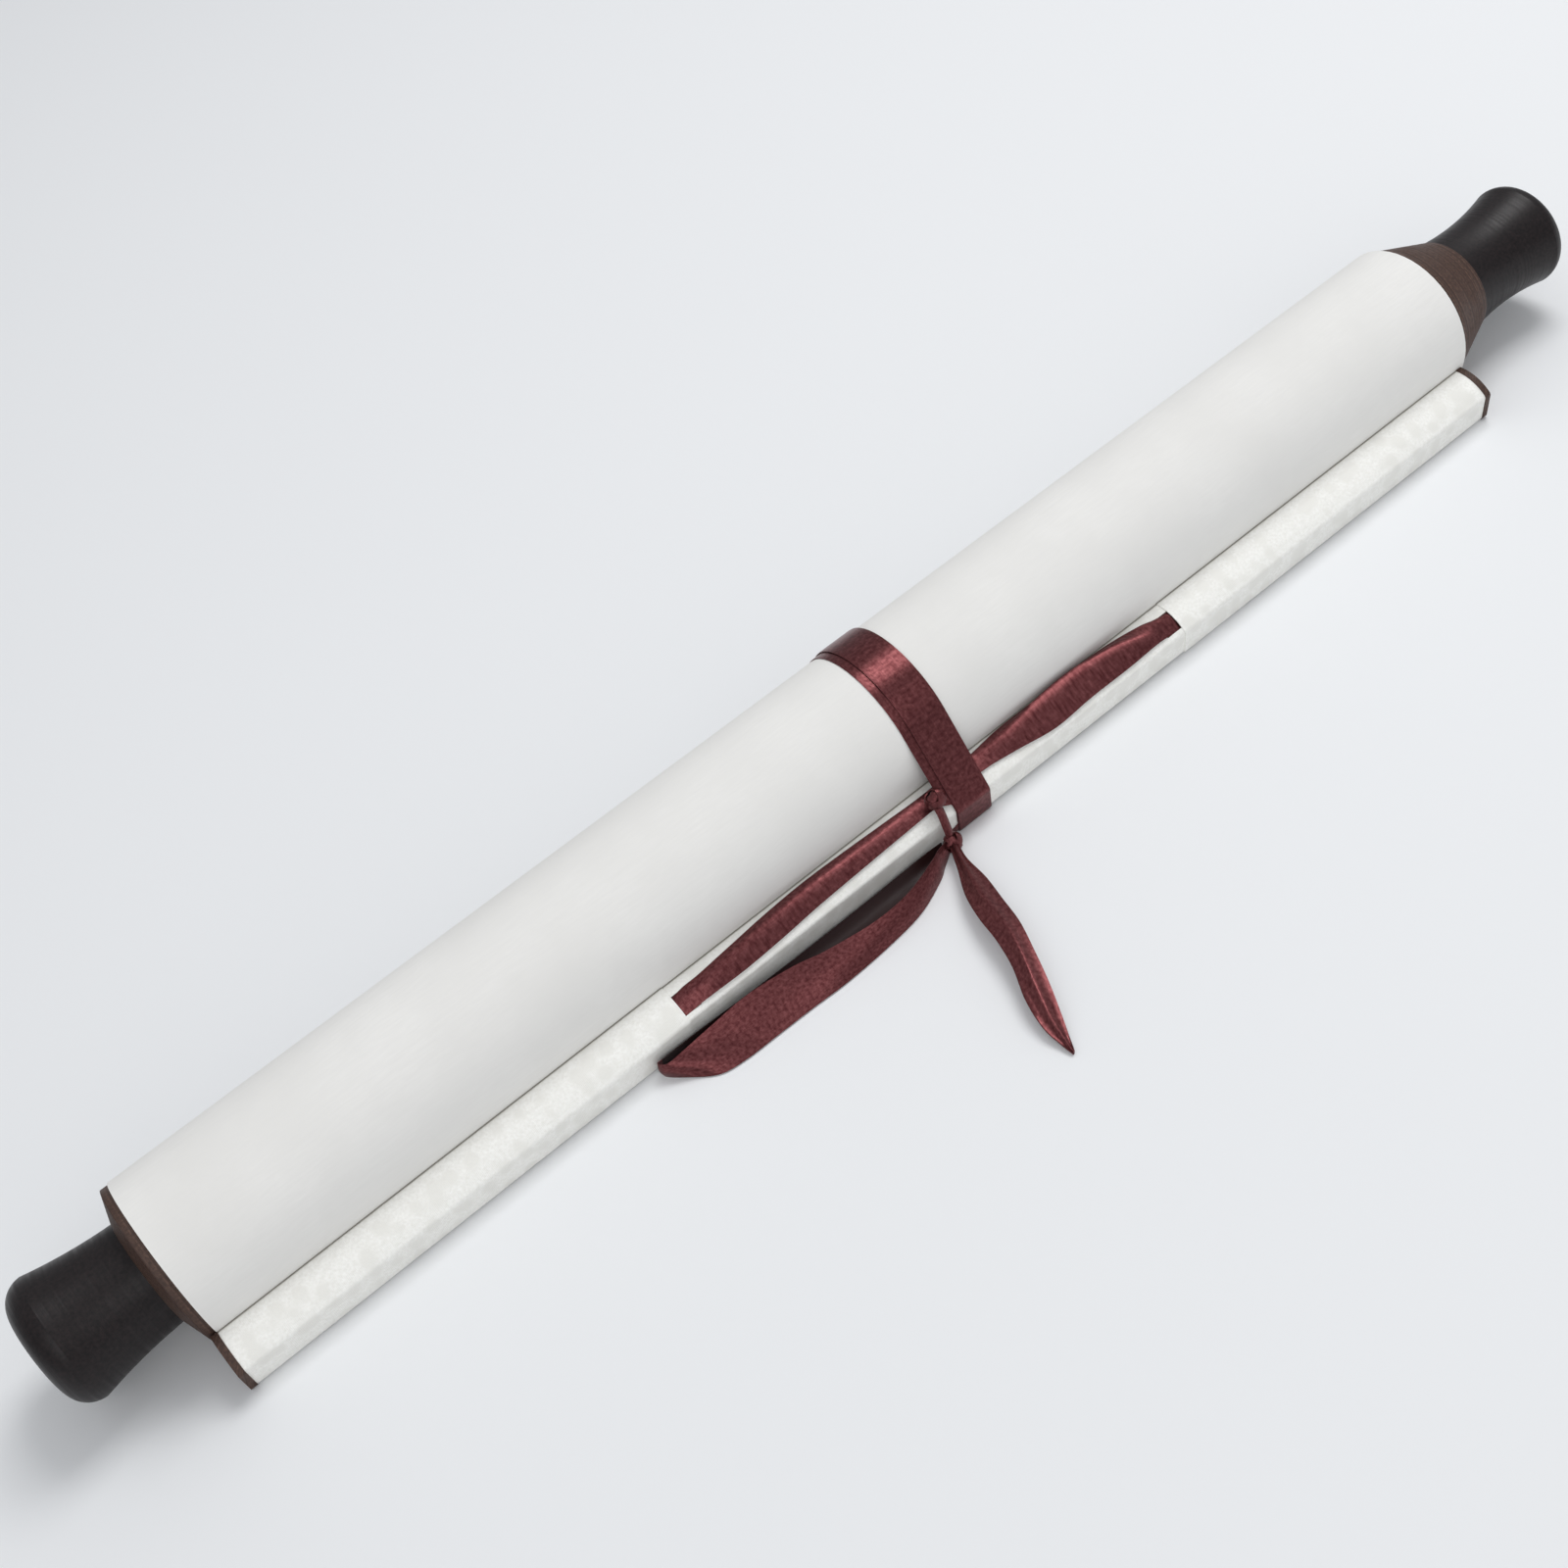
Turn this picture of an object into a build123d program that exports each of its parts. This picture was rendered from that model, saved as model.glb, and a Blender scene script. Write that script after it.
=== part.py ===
from build123d import *
import math
import os

# A hanging scroll, rolled up and tied, lying on a flat surface. Millimetres.
# +X runs along the roll, the batten lies on its -Y side, +Z is up.
# The origin is on the flat spot under the middle of the roll.

# The roll of paper, wound round its wooden roller
roll_radius = 20.0
roll_length = 376.0
turn_thickness = 0.25
flat_spot_rise = 0.15
lowest_turn_radius = roll_radius - 0.8 * turn_thickness
axis_height = lowest_turn_radius - flat_spot_rise
roller_radius = 12.0
tenon_radius = 5.0
tenon_depth = 12.0

# The outer turn leaves the roll as a straight tab, glued to the batten's back
tab_angle = 200.0
tab_length = 10.0
glue_angle = 15.0

# The collars on the roller's ends
collar_radius = 19.6
collar_left_rim = 2.0
collar_left_height = 4.2
collar_left_neck = 12.9
collar_right_rim = 0.4
collar_right_height = 16.0
collar_right_neck = 13.2

# The turned knobs: root, waist and end radius, the length that shows, the end's rounding
knob_left_radii = (12.6, 13.3, 15.2)
knob_left_length = 26.3
knob_left_corner = 6.0
knob_waist_at = 0.35
knob_right_radii = (12.9, 12.1, 13.9)
knob_right_length = 30.4
knob_right_corner = 4.0

# The batten along the scroll's top edge: a rounded top, then a steep front facet
batten_start = -187.9
batten_end = 185.2
round_centre = (-18.8, 1.35)
round_radius = 11.2
ridge_angle = 54.0
batten_foot = (-26.1, 0.35)
ridge_rounding = 1.2
foot_rounding = 0.8
cover_thickness = 0.3
wrap_thickness = 0.4
plate_thickness = 1.7
plate_lip = 0.2
cover_left_end = -72.0
cover_right_start = 79.4

# The hanging ribbon, folded along its length, housed in the batten at each end
ribbon_thickness = 0.8
housing_angle = 31.5
housing_width = 5.4
housing_depth = 1.2
housed_width = 5.0
housed_lift = -0.7
housing_length = 6.0
housing_run_out = 4.5
end_play = 0.2
ramp_length = 6.0

# The tie ribbon's band round the roll and the batten, and its knots
band_start = 4.1
band_width = 12.0
band_gap = 0.05
band_thickness = 0.55
band_floor = 0.05
groove_clearance = 0.2
groove_half_width = 7.0
knot_centre = (2.8, -26.6, 14.8)
knot_size = (4.6, 4.2, 4.2)
small_knot_centre = (1.7, -29.4, 3.0)
small_knot_size = (3.8, 3.6, 3.6)

roll_axis = Axis((0, 0, axis_height), (1, 0, 0))
left_end = -roll_length / 2
right_end = roll_length / 2

# A cutter of this size reaches past the whole cross-section
beyond = 4 * roll_radius


def direction(degrees):
    """A unit vector in the roll's cross-section."""
    return Vector(math.cos(math.radians(degrees)), math.sin(math.radians(degrees)))


axis_point = Vector(0, axis_height)
tab_outward = direction(tab_angle)
tab_along = direction(tab_angle + 90)
tab_start = axis_point + tab_outward * roll_radius


def on_batten(angle, lift):
    """A point of the batten's rounded top, lifted off its wrap, angle from the vertical."""
    reach = round_radius - cover_thickness + lift
    return Vector(*round_centre) + direction(90 + angle) * reach


def cross_section(x):
    """The plane across the roll at x: its own axes are +Y and +Z."""
    return Plane.YZ.offset(x)


def end_plane(x, outward):
    """The plane of a turned piece's half section: its own x runs outward along the roll."""
    return Plane(origin=(x, 0, axis_height), x_dir=(outward, 0, 0), z_dir=(0, -outward, 0))


def roll_outline(x):
    """The outer turn's spiral, as four arcs of falling radius, and its glued tab."""
    step = turn_thickness / 4
    centre = axis_point
    radius = roll_radius
    angle = tab_angle
    with BuildSketch(cross_section(x)) as outline:
        with BuildLine():
            for sweep_angle in (90, 90, 90, 90 - glue_angle):
                last_arc = CenterArc(centre, radius, angle, -sweep_angle)
                angle -= sweep_angle
                centre = centre + direction(angle) * step
                radius -= step
            tab_tip = tab_start + tab_along * tab_length
            inner_tip = tab_tip - tab_outward * turn_thickness
            Polyline(last_arc @ 1, inner_tip, tab_tip, tab_start)
        make_face()
    return outline.sketch


def batten_outline(x, inset, back_gap=0.0):
    """The batten's section, moved in from its covered face, cut flat where the tab is glued."""
    centre = Vector(*round_centre)
    ridge = centre + direction(90 + ridge_angle) * round_radius
    with BuildSketch(cross_section(x)) as outline:
        with BuildLine():
            rounded_top = CenterArc(centre, round_radius, 90, ridge_angle)
            Polyline(ridge, batten_foot, (0, batten_foot[1]), (0, round_centre[1] + round_radius))
            Line((0, round_centre[1] + round_radius), rounded_top @ 0)
        make_face()
        fillet(outline.vertices().sort_by_distance(ridge)[0], ridge_rounding)
        fillet(outline.vertices().sort_by_distance(batten_foot)[0], foot_rounding)
        if inset:
            offset(amount=-inset)
        middle = axis_point + tab_outward * (roll_radius + back_gap - beyond / 2)
        with Locations(Location((middle.X, middle.Y, 0), tab_angle)):
            Rectangle(beyond, beyond, mode=Mode.SUBTRACT)
    return outline


def band_outline(x, outset):
    """The taut outline round the roll and the wrapped batten, flat where it lies underneath."""
    wrapped_batten = batten_outline(x, cover_thickness - band_gap)
    with BuildSketch() as round_roll:
        with Locations((0, axis_height)):
            Circle(roll_radius + band_gap)
    with BuildSketch(cross_section(x)) as outline:
        make_hull(round_roll.edges() + wrapped_batten.edges())
        with Locations((0, band_floor + band_thickness - roll_radius)):
            Rectangle(beyond, 2 * roll_radius, mode=Mode.SUBTRACT)
        if outset:
            offset(amount=outset)
    return outline.sketch


def collar_profile(plane, height, rim, neck):
    """Half of a collar's section: a rim against the paper, sloping in to the neck."""
    with BuildSketch(plane) as profile:
        with BuildLine():
            Polyline(
                (0, tenon_radius),
                (0, collar_radius),
                (rim, collar_radius),
                (height, neck),
                (height, tenon_radius),
                close=True,
            )
        make_face()
    return profile.sketch


def knob_profile(plane, length, radii, corner):
    """Half of a knob's section: a blind hole for the tenon, a waist and a rounded end."""
    root, waist, end = radii
    shoulder = (length - corner, end)
    with BuildSketch(plane) as profile:
        with BuildLine():
            Spline((0, root), (knob_waist_at * length, waist), shoulder)
            RadiusArc(shoulder, (length, end - corner), corner)
            Polyline(
                (length, end - corner),
                (length, 0),
                (tenon_depth, 0),
                (tenon_depth, tenon_radius),
                (0, tenon_radius),
                (0, root),
            )
        make_face()
    return profile.sketch


def ribbon_section(centre, across, travel, width):
    """A folded ribbon's section at centre: across is along its width, travel along its run."""
    with BuildSketch(Plane(origin=centre, x_dir=across, z_dir=travel)) as section:
        Rectangle(width, ribbon_thickness)
    return section.sketch


def across_x(lean):
    """The width's direction where a ribbon runs along X: it leans up towards the roll."""
    return (0, direction(lean).X, direction(lean).Y)


def across_y(lean):
    """The width's direction where a ribbon runs along Y."""
    return (direction(lean).X, 0, direction(lean).Y)


# The roll: all its turns are one solid, with the roller's bore, the flat spot that it lies
# on, and the shallow groove that the tie presses into its underside
with BuildPart() as scroll_roll:
    extrude(roll_outline(left_end), amount=roll_length)
    with Locations(Location((0, 0, axis_height), (0, 90, 0))):
        Cylinder(roller_radius, roll_length, mode=Mode.SUBTRACT)
    with Locations((0, 0, -roll_radius)):
        Box(2 * roll_length, beyond, 2 * roll_radius, mode=Mode.SUBTRACT)
    with Locations((band_start + band_width / 2, 0, 0)):
        Box(
            band_width + 2 * groove_clearance,
            2 * groove_half_width,
            2 * (band_floor + band_thickness + groove_clearance),
            mode=Mode.SUBTRACT,
        )
scroll_roll.part.label = "scroll_roll"

# The roller: a plain rod with a tenon at each end
tenon_left_end = left_end - collar_left_height - tenon_depth
tenon_right_end = right_end + collar_right_height + tenon_depth
with BuildPart() as roller:
    with Locations(Location((0, 0, axis_height), (0, 90, 0))):
        Cylinder(roller_radius, roll_length)
    with Locations(Location(((tenon_left_end + tenon_right_end) / 2, 0, axis_height), (0, 90, 0))):
        Cylinder(tenon_radius, tenon_right_end - tenon_left_end)
roller.part.label = "roller"

# The collars: a thin dished one on the left, a long cone on the right
with BuildPart() as collar_left:
    revolve(
        collar_profile(
            end_plane(left_end, -1), collar_left_height, collar_left_rim, collar_left_neck
        ),
        axis=roll_axis,
    )
collar_left.part.label = "collar_left"

with BuildPart() as collar_right:
    revolve(
        collar_profile(
            end_plane(right_end, 1), collar_right_height, collar_right_rim, collar_right_neck
        ),
        axis=roll_axis,
    )
collar_right.part.label = "collar_right"

# The knobs, turned by hand, so that the two differ a little
with BuildPart() as knob_left:
    root_plane = end_plane(left_end - collar_left_height, -1)
    revolve(
        knob_profile(root_plane, knob_left_length, knob_left_radii, knob_left_corner),
        axis=roll_axis,
    )
knob_left.part.label = "knob_left"

with BuildPart() as knob_right:
    root_plane = end_plane(right_end + collar_right_height, 1)
    revolve(
        knob_profile(root_plane, knob_right_length, knob_right_radii, knob_right_corner),
        axis=roll_axis,
    )
knob_right.part.label = "knob_right"

# The housings: shallow recesses in the batten's top that take the hanging ribbon's ends
housings = []
for edge, inward in ((cover_left_end, -1), (cover_right_start, 1)):
    seat = on_batten(housing_angle, 0)
    housing_middle = edge + inward * (housing_length - housing_run_out) / 2
    with BuildPart(
        Plane(origin=(housing_middle, seat.X, seat.Y), x_dir=(1, 0, 0)).rotated(
            (housing_angle, 0, 0)
        )
    ) as housing:
        Box(housing_length + housing_run_out, housing_width, 2 * housing_depth)
    housings.append(housing.part)

# The batten: a wooden core in a sleeve of silk
batten_length = batten_end - batten_start
core_inset = cover_thickness + wrap_thickness
with BuildPart() as batten_core:
    extrude(
        batten_outline(batten_start, core_inset, wrap_thickness).sketch, amount=batten_length
    )
    for housing_cut in housings:
        add(housing_cut, mode=Mode.SUBTRACT)
batten_core.part.label = "batten_core"

with BuildPart() as batten_wrap:
    extrude(batten_outline(batten_start, cover_thickness).sketch, amount=batten_length)
    extrude(
        batten_outline(batten_start, core_inset, wrap_thickness).sketch,
        amount=batten_length,
        mode=Mode.SUBTRACT,
    )
    for housing_cut in housings:
        add(housing_cut, mode=Mode.SUBTRACT)
batten_wrap.part.label = "batten_wrap"

# The second layer of silk, on the wrap, from each end to the hanging ribbon
with BuildPart() as cover_left:
    cover_length = cover_left_end - batten_start
    extrude(batten_outline(batten_start, 0).sketch, amount=cover_length)
    extrude(
        batten_outline(batten_start, cover_thickness).sketch,
        amount=cover_length,
        mode=Mode.SUBTRACT,
    )
cover_left.part.label = "cover_left"

with BuildPart() as cover_right:
    cover_length = batten_end - cover_right_start
    extrude(batten_outline(cover_right_start, 0).sketch, amount=cover_length)
    extrude(
        batten_outline(cover_right_start, cover_thickness).sketch,
        amount=cover_length,
        mode=Mode.SUBTRACT,
    )
cover_right.part.label = "cover_right"

# The plates that close the batten's ends
with BuildPart() as end_plate_left:
    plate_face = batten_outline(batten_start - plate_thickness, -plate_lip).sketch
    extrude(plate_face, amount=plate_thickness)
end_plate_left.part.label = "end_plate_left"

with BuildPart() as end_plate_right:
    extrude(batten_outline(batten_end, -plate_lip).sketch, amount=plate_thickness)
end_plate_right.part.label = "end_plate_right"

# The hanging ribbon: place along the batten, place round its top, lift and width
hanging_stations = (
    (cover_left_end - housing_length + end_play, housing_angle, housed_lift, housed_width),
    (cover_left_end, housing_angle, housed_lift, housed_width),
    (cover_left_end + ramp_length, 31, 1.1, 5.2),
    (-55, 30, 1.1, 6.2),
    (-33, 25, 1.1, 6.6),
    (-14, 25, 1.1, 5.4),
    (3, 25, 0.65, 3.8),
    (17, 25, 0.65, 3.8),
    (26, 29, 1.1, 7.0),
    (38, 31, 1.4, 9.4),
    (52, 31, 1.2, 8.6),
    (65, 30, 1.1, 7.2),
    (cover_right_start - ramp_length, 31, 1.1, 5.4),
    (cover_right_start, housing_angle, housed_lift, housed_width),
    (cover_right_start + housing_length - end_play, housing_angle, housed_lift, housed_width),
)
with BuildPart() as hanging_ribbon:
    ribbon_sections = []
    for x, angle, lift, width in hanging_stations:
        middle = on_batten(angle, lift)
        place = (x, middle.X, middle.Y)
        ribbon_sections.append(ribbon_section(place, across_x(angle), (1, 0, 0), width))
    loft(ribbon_sections, ruled=True)
hanging_ribbon.part.label = "hanging_ribbon"

# The tie ribbon: a taut band, two knots with a strand between them, a loop and a tail
loop_stations = (
    ((1.2, -29.8, 3.0), 90, 3.0),
    ((-10, -34.5, 3.2), 70, 5.5),
    ((-25, -38.0, 3.6), 58, 6.8),
    ((-40, -36.2, 3.2), 28, 10.0),
    ((-57, -34.8, 3.0), 24, 11.0),
    ((-71, -34.4, 2.6), 21, 10.0),
    ((-81, -31.0, 1.4), 15, 5.0),
)
tail_stations = (
    ((0.8, -31.0, 3.2), 0, 2.6),
    ((-1.6, -38.0, 4.8), -8, 4.6),
    ((-4.6, -46.0, 6.2), -10, 6.0),
    ((-9.6, -61.0, 7.4), -12, 6.0),
    ((-15.6, -79.0, 5.0), -10, 6.0),
    ((-18.3, -88.5, 1.6), -4, 3.4),
    ((-19.4, -92.8, 0.6), 0, 1.2),
)
strand_stations = (
    ((3.0, -27.6, 13.4), 3.2),
    ((2.9, -29.4, 8.6), 3.0),
    ((2.3, -29.9, 5.4), 3.0),
    ((1.8, -29.6, 3.4), 2.6),
)
with BuildPart() as tie_ribbon:
    extrude(band_outline(band_start, band_thickness), amount=band_width)
    extrude(band_outline(band_start, 0), amount=band_width, mode=Mode.SUBTRACT)
    with Locations(knot_centre):
        Box(*knot_size)
    with Locations(small_knot_centre):
        Box(*small_knot_size)
    loft(
        [ribbon_section(c, across_x(lean), (-1, 0, 0), width) for c, lean, width in loop_stations],
        ruled=True,
    )
    loft(
        [ribbon_section(c, across_y(lean), (0, -1, 0), width) for c, lean, width in tail_stations],
        ruled=True,
    )
    loft(
        [ribbon_section(c, (1, 0, 0), (0, 0, -1), width) for c, width in strand_stations],
        ruled=True,
    )
tie_ribbon.part.label = "tie_ribbon"

os.makedirs("parts", exist_ok=True)
pieces = (
    scroll_roll,
    roller,
    collar_left,
    collar_right,
    knob_left,
    knob_right,
    batten_core,
    batten_wrap,
    cover_left,
    cover_right,
    end_plate_left,
    end_plate_right,
    hanging_ribbon,
    tie_ribbon,
)
for piece in pieces:
    export_step(piece.part, f"parts/{piece.part.label}.step")
    print(piece.part.label, round(piece.part.volume), "mm3")
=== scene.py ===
# %% [markdown]
# # A hanging scroll, rolled up and tied
# The turned and flat pieces come from the construction model, which loads first and stays
# where it is. This file gives them their finishes, and makes the two satin ribbons, which
# are cloth and so are shaped here as folded strips.

# %% Load the construction model
import math
import bpy
from mathutils import Matrix, Vector
from mathutils.geometry import convex_hull_2d


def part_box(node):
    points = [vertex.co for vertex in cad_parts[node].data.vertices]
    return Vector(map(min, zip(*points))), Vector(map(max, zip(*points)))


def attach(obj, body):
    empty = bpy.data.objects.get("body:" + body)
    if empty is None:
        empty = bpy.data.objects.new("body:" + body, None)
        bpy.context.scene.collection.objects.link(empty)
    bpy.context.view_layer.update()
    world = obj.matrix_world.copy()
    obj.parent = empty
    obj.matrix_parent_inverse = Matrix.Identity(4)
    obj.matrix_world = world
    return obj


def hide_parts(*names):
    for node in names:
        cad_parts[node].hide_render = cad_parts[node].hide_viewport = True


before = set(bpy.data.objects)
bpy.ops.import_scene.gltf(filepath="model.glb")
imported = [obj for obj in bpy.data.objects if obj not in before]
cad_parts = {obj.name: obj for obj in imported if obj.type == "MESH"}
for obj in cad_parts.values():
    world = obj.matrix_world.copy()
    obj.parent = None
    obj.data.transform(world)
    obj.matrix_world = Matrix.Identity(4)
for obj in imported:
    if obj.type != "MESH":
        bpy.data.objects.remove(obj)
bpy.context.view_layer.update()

bpy.ops.object.select_all(action="DESELECT")
MM = 0.001
print("nodes:", ", ".join(sorted(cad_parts)))

# %% [markdown]
# ## Where things are
# The knobs are turned on the roller's axis, so the middle of a knob's box gives that axis,
# and the roll's highest point gives its radius. The batten's round top is part of a known
# circle, which is named once, in millimetres, for the ribbon that lies on it.

# %% Read the roll's axis and radius
knob_low, knob_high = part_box("knob_left")
_, roll_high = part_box("scroll_roll")
AXIS_Z = (knob_low[2] + knob_high[2]) / 2
ROLL_RADIUS = roll_high[2] - AXIS_Z
BATTEN_CENTRE = (-18.8, 1.35)  # as (y, z)
WRAP_RADIUS = 10.9
print("axis height", round(AXIS_Z / MM, 2), "mm, roll radius", round(ROLL_RADIUS / MM, 2), "mm")

# %% [markdown]
# ## The camera
# The scroll is seen from above its left front, with the camera turned on its own axis, so
# that the roll runs up across the picture. A look point and a roll angle say that more
# plainly than three Euler angles do.

# %% Place the camera
CAMERA_PLACE = Vector((-151.1, -326.7, 346.4)) * MM
CAMERA_LOOKS_AT = Vector((-19.2, 0.8, 20.4)) * MM
CAMERA_ROLL = math.radians(-21.86)
CAMERA_LENS = 47.9
SENSOR_WIDTH = 36

forward = (CAMERA_LOOKS_AT - CAMERA_PLACE).normalized()
level_right = forward.cross(Vector((0, 0, 1))).normalized()
level_up = level_right.cross(forward)
right = level_right * math.cos(CAMERA_ROLL) + level_up * math.sin(CAMERA_ROLL)
up = level_up * math.cos(CAMERA_ROLL) - level_right * math.sin(CAMERA_ROLL)
camera_data = bpy.data.cameras.new("camera")
camera_data.lens = CAMERA_LENS
camera_data.sensor_width = SENSOR_WIDTH
camera = bpy.data.objects.new("camera", camera_data)
turn = Matrix((right, up, -forward)).transposed()
camera.matrix_world = Matrix.Translation(CAMERA_PLACE) @ turn.to_4x4()
bpy.context.scene.collection.objects.link(camera)
bpy.context.scene.camera = camera
print("camera", round((CAMERA_LOOKS_AT - CAMERA_PLACE).length / MM), "mm from the scroll")

# %% [markdown]
# ## Node helpers
# Every finish below is a small network of nodes, and a few helpers keep the cells short.
# They add a node and set its inputs, build a material round a Principled BSDF, mix two
# colours, work out a sum or a product, and fit one range of values to another.


# %% Helpers for nodes
# The Mix node has sockets of the same name for each kind of value, so its colour sockets are
# picked by their place.
MIX_FACTOR, MIX_FIRST, MIX_SECOND, MIX_RESULT = 0, 6, 7, 2


def add_node(tree, kind, inputs=None, **settings):
    """Adds a node. An input is a value, or a socket to link from."""
    node = tree.nodes.new(kind)
    for name, value in settings.items():
        setattr(node, name, value)
    for name, value in (inputs or {}).items():
        if isinstance(value, bpy.types.NodeSocket):
            tree.links.new(value, node.inputs[name])
        else:
            node.inputs[name].default_value = value
    return node


def new_finish(name, **shader_values):
    """A material with a Principled BSDF, whose even values are set on its own sockets."""
    material = bpy.data.materials.new(name)
    material.use_nodes = True
    tree = material.node_tree
    shader = tree.nodes["Principled BSDF"]
    for socket, value in shader_values.items():
        shader.inputs[socket.replace("_", " ")].default_value = value
    return material, tree, shader


def between(tree, factor, low, high):
    """A colour that goes from low to high with factor. Each end is a colour or a socket."""
    first, second = (
        end if isinstance(end, bpy.types.NodeSocket) else (*end, 1) for end in (low, high)
    )
    sockets = {MIX_FACTOR: factor, MIX_FIRST: first, MIX_SECOND: second}
    return add_node(tree, "ShaderNodeMix", sockets, data_type="RGBA").outputs[MIX_RESULT]


def work_out(tree, operation, first, second):
    """The result of a Math node on two values."""
    return add_node(tree, "ShaderNodeMath", {0: first, 1: second}, operation=operation).outputs[0]


def spread(tree, value, low, high, start=0.0, end=1.0):
    """Moves a value from the range start to end to the range low to high."""
    ranges = {"From Min": start, "From Max": end, "To Min": low, "To Max": high}
    return add_node(tree, "ShaderNodeMapRange", {"Value": value, **ranges}).outputs["Result"]


def object_place(tree):
    """The place on the piece, in metres, which moves with it."""
    return add_node(tree, "ShaderNodeTexCoord").outputs["Object"]


def relief(tree, shader, height, depth, strength=1.0):
    """Raises the surface with height, by depth in metres."""
    bump = add_node(
        tree, "ShaderNodeBump", {"Height": height, "Distance": depth, "Strength": strength}
    )
    tree.links.new(bump.outputs["Normal"], shader.inputs["Normal"])


# %% [markdown]
# ## Mottle, a shared effect
# Paper pulp, silk, stained wood and dyed ribbon are all a little uneven, some in clouds and
# some in specks. One group gives both, and each finish takes as much as it needs. Noise
# seldom leaves the middle of its range, so that middle is stretched to the full range.


# %% The mottle group
NOISE_SPAN = (0.3, 0.7)


def new_group(name, values_in, values_out):
    """An empty node group that takes a vector and some values, and gives some values."""
    group = bpy.data.node_groups.new(name, "ShaderNodeTree")
    group.interface.new_socket("Vector", in_out="INPUT", socket_type="NodeSocketVector")
    for direction, values in (("INPUT", values_in), ("OUTPUT", values_out)):
        for value in values:
            group.interface.new_socket(value, in_out=direction, socket_type="NodeSocketFloat")
    return group, group.nodes.new("NodeGroupInput"), group.nodes.new("NodeGroupOutput")


def build_mottle():
    group, entry, leave = new_group("mottle", ("Cloud scale", "Speck scale"), ("Clouds", "Specks"))
    for output, scale, detail in (("Clouds", "Cloud scale", 3), ("Specks", "Speck scale", 5)):
        noise = add_node(
            group,
            "ShaderNodeTexNoise",
            {"Vector": entry.outputs["Vector"], "Scale": entry.outputs[scale], "Detail": detail},
        )
        stretched = spread(group, noise.outputs["Fac"], 0.0, 1.0, *NOISE_SPAN)
        group.links.new(stretched, leave.inputs[output])
    return group


mottle_group = build_mottle()


def add_mottle(tree, vector, clouds, specks):
    """Clouds and specks, each with so many to the vector's unit of length."""
    scales = {"Vector": vector, "Cloud scale": clouds, "Speck scale": specks}
    return add_node(tree, "ShaderNodeGroup", scales, node_tree=mottle_group)


# %% [markdown]
# ## Distance from the roller's axis, a shared effect
# The turned rings and the painted line of shade on the silk both go by this distance.


# %% Distance from the axis
def reach_from_axis(tree, place):
    """How far a place is from the roller's axis."""
    centred = add_node(
        tree, "ShaderNodeVectorMath", {0: place, 1: (0, 0, AXIS_Z)}, operation="SUBTRACT"
    )
    across = add_node(
        tree, "ShaderNodeVectorMath", {0: centred.outputs[0], 1: (0, 1, 1)}, operation="MULTIPLY"
    )
    reach = add_node(tree, "ShaderNodeVectorMath", {0: across.outputs[0]}, operation="LENGTH")
    return reach.outputs["Value"]


# %% [markdown]
# ## Turned rings, a shared effect
# A turner's tool leaves fine rings round the axis. The distance from the axis gives them on
# a flat or sloping face, and the place along the axis gives them on a knob's side, so the
# group adds the two and reads noise along the sum.


# %% The turned rings group
def build_rings():
    group, entry, leave = new_group("turned_rings", ("Rings per metre",), ("Rings",))
    place = entry.outputs["Vector"]
    parts = add_node(group, "ShaderNodeSeparateXYZ", {"Vector": place})
    reach = reach_from_axis(group, place)
    total = work_out(group, "ADD", reach, parts.outputs["X"])
    counted = work_out(group, "MULTIPLY", total, entry.outputs["Rings per metre"])
    uneven = add_node(
        group,
        "ShaderNodeTexNoise",
        {"W": counted, "Scale": 1.0, "Detail": 2},
        noise_dimensions="1D",
    )
    stretched = spread(group, uneven.outputs["Fac"], 0.0, 1.0, *NOISE_SPAN)
    group.links.new(stretched, leave.inputs["Rings"])
    return group


rings_group = build_rings()


def add_rings(tree, vector, rings):
    """Rings round the roller's axis, with so many to the metre."""
    inputs = {"Vector": vector, "Rings per metre": rings}
    return add_node(tree, "ShaderNodeGroup", inputs, node_tree=rings_group).outputs["Rings"]


# %% [markdown]
# ## The mounting paper
# The roll's outside is a matt off-white paper, brushed on with paste over finer sheets. It
# has long fibres, faint clouds from the brush, and hardly any shine. Noise stretched along
# the roll makes the fibres, so no image is needed.


# %% Paper
LONG_FIBRES = (0.12, 1, 1)


def paper_finish():
    material, tree, shader = new_finish("mounting_paper", Roughness=0.85, Specular_IOR_Level=0.25)
    place = object_place(tree)
    mottle = add_mottle(tree, place, 45, 900)
    along = add_node(tree, "ShaderNodeMapping", {"Vector": place, "Scale": LONG_FIBRES})
    fibres = add_node(
        tree, "ShaderNodeTexNoise", {"Vector": along.outputs[0], "Scale": 1600, "Detail": 4}
    )
    uneven = work_out(tree, "MULTIPLY", mottle.outputs["Clouds"], fibres.outputs["Fac"])
    colour = between(tree, uneven, (0.80, 0.79, 0.765), (0.885, 0.875, 0.85))
    tree.links.new(colour, shader.inputs["Base Color"])
    tree.links.new(spread(tree, mottle.outputs["Specks"], 0.78, 0.92), shader.inputs["Roughness"])
    relief(tree, shader, fibres.outputs["Fac"], 0.00004, 0.6)
    return material


# %% [markdown]
# ## Silk damask
# The batten is covered in white silk with a woven-in pattern that shows only as a change of
# shine: scattered small blossoms on a plain ground. Smooth Voronoi cells, set out a little
# at random, give such a scatter, and fine crossing waves give the threads. Where the silk
# meets the roll, a thin olive-brown line of painted shade stands for the crevice's shadow.


# %% Silk
BLOSSOMS_PER_METRE = 210
THREADS_PER_METRE = 900
# A thin line of painted shade on the silk where it meets the roll, between these distances off the
# roll.
SEAM_SHADE_NEAR = 0.15 * MM
SEAM_SHADE_FAR = 0.55 * MM
SEAM_SHADE_COLOUR = (0.2, 0.185, 0.15)


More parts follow.
